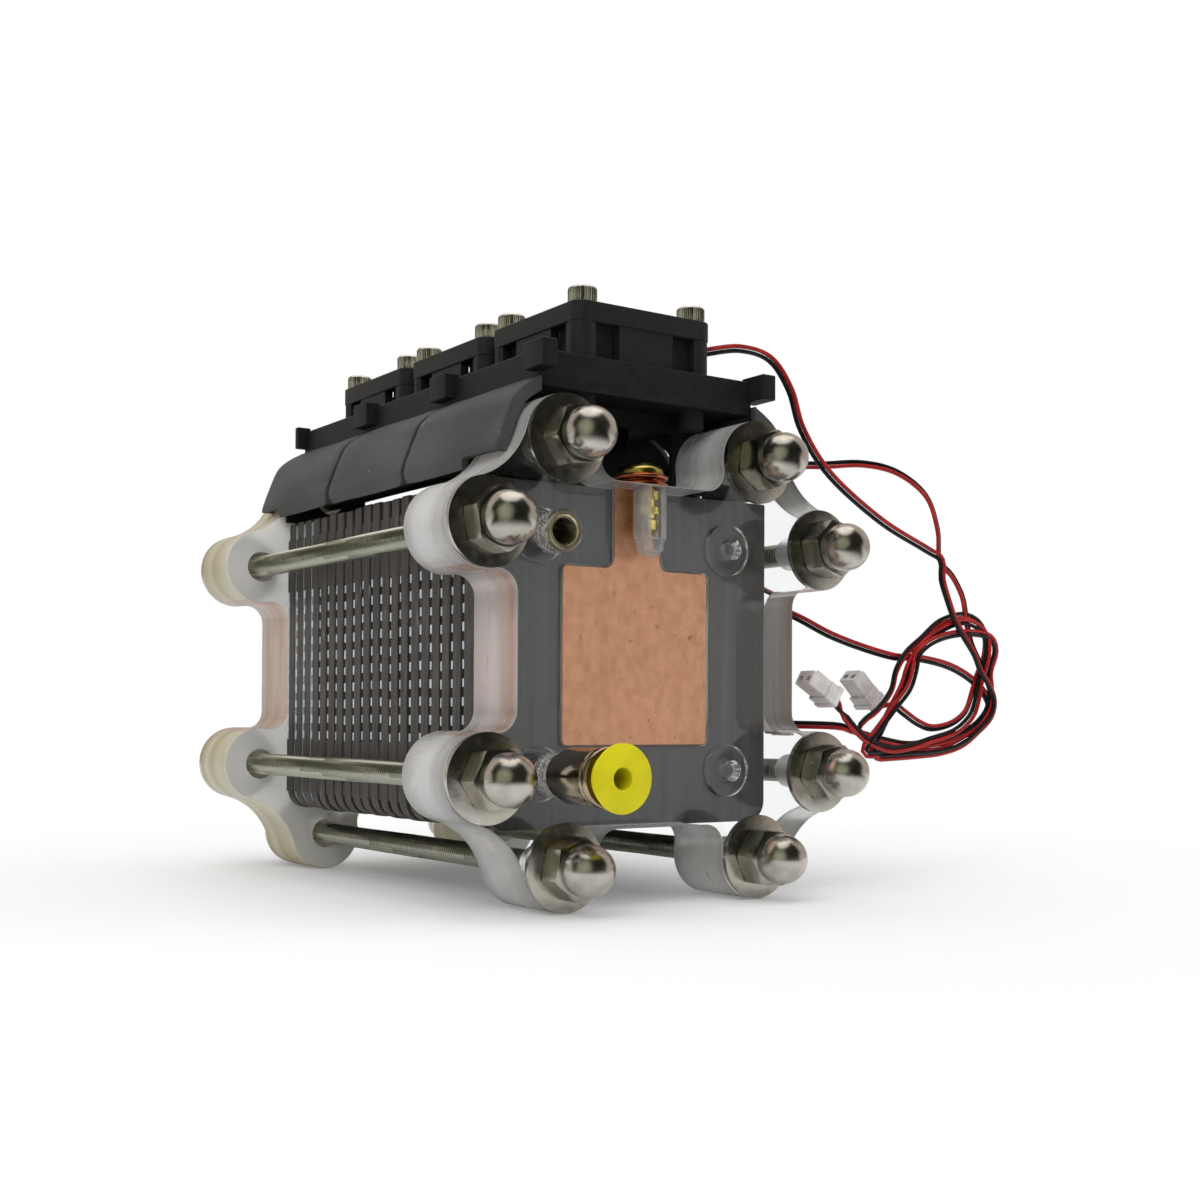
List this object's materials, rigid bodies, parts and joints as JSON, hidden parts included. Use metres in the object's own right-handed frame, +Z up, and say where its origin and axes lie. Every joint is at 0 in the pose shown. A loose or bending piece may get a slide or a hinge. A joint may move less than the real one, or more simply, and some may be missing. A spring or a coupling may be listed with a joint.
{
  "type": "fuel cell stack",
  "caption": "Open-cathode fuel cell stack of graphite cells clamped between clear end plates by tie rods, with cooling fans on top, gas ports, terminals and fan leads.",
  "frame": {"origin": "bottom centre of the stack's bounding box, without the free fan leads, on the surface the lower lobes stand on", "axes": "+Y from the port side to the rear along the tie rods, +Z up towards the fans, +X to the right seen from the port side"},
  "size_m": [0.1836, 0.1842, 0.1451],
  "materials": {
    "clear_plate": "polished clear acrylic with frosted machined edges",
    "steel": "polished stainless steel",
    "graphite": "dark grey moulded graphite, matt",
    "copper": "swirl-brushed copper",
    "brass": "turned brass",
    "nickel": "nickel-plated, shiny",
    "yellow_plastic": "bright yellow plastic",
    "fan_plastic": "black moulded plastic",
    "rotor_plastic": "black moulded plastic, satin",
    "shroud_plastic": "black moulded plastic, matt",
    "flap_plastic": "dark grey sheet plastic, lightly scratched",
    "wire": "insulated twin wire, one red and one black",
    "plug_nylon": "off-white moulded nylon"
  },
  "bodies": {
    "stack": {"end_plate_front": "clear_plate", "end_plate_rear": "clear_plate", "tie_rod_1": "steel", "tie_rod_2": "steel", "tie_rod_3": "steel", "tie_rod_4": "steel", "tie_rod_5": "steel", "tie_rod_6": "steel", "tie_rod_7": "steel", "tie_rod_8": "steel", "cell_01": "graphite", "cell_02": "graphite", "cell_03": "graphite", "cell_04": "graphite", "cell_05": "graphite", "cell_06": "graphite", "cell_07": "graphite", "cell_08": "graphite", "cell_09": "graphite", "cell_10": "graphite", "cell_11": "graphite", "cell_12": "graphite", "cell_13": "graphite", "cell_14": "graphite", "cell_15": "graphite", "cell_16": "graphite", "cell_17": "graphite", "cell_18": "graphite", "cell_19": "graphite", "cell_20": "graphite", "collector_front": "copper", "collector_rear": "copper", "terminal_front": "brass", "terminal_rear": "brass", "outlet_sleeve": "brass", "inlet_body": "nickel", "fan_frame_1": "fan_plastic", "fan_frame_2": "fan_plastic", "fan_frame_3": "fan_plastic", "shroud": "shroud_plastic", "flap_left_1": "flap_plastic", "flap_left_2": "flap_plastic", "flap_left_3": "flap_plastic", "flap_right_1": "flap_plastic", "flap_right_2": "flap_plastic", "flap_right_3": "flap_plastic", "lead_1": "wire", "lead_2": "wire", "lead_3": "wire", "lead_coil": "wire", "tail_1": "wire", "tail_2": "wire", "tail_3": "wire", "plug_1": "plug_nylon", "plug_2": "plug_nylon", "plug_3": "plug_nylon"},
    "rotor_front": {"fan_rotor_1": "rotor_plastic"},
    "rotor_middle": {"fan_rotor_2": "rotor_plastic"},
    "rotor_rear": {"fan_rotor_3": "rotor_plastic"},
    "collet": {"inlet_collet": "yellow_plastic"}
  },
  "joints": [
    {"name": "rotor_front_spin", "type": "hinge", "parent": "stack", "child": "rotor_front", "pos_m": [0, -0.04215, 0.131], "axis": [0, 0, 1], "continuous": true},
    {"name": "rotor_middle_spin", "type": "hinge", "parent": "stack", "child": "rotor_middle", "pos_m": [0, 0.00145, 0.131], "axis": [0, 0, 1], "continuous": true},
    {"name": "rotor_rear_spin", "type": "hinge", "parent": "stack", "child": "rotor_rear", "pos_m": [0, 0.04505, 0.131], "axis": [0, 0, 1], "continuous": true},
    {"name": "collet_release", "type": "slide", "parent": "stack", "child": "collet", "axis": [0, 1, 0], "range_m": [0, 0.0012], "stiffness_N_per_m": 400}
  ]
}
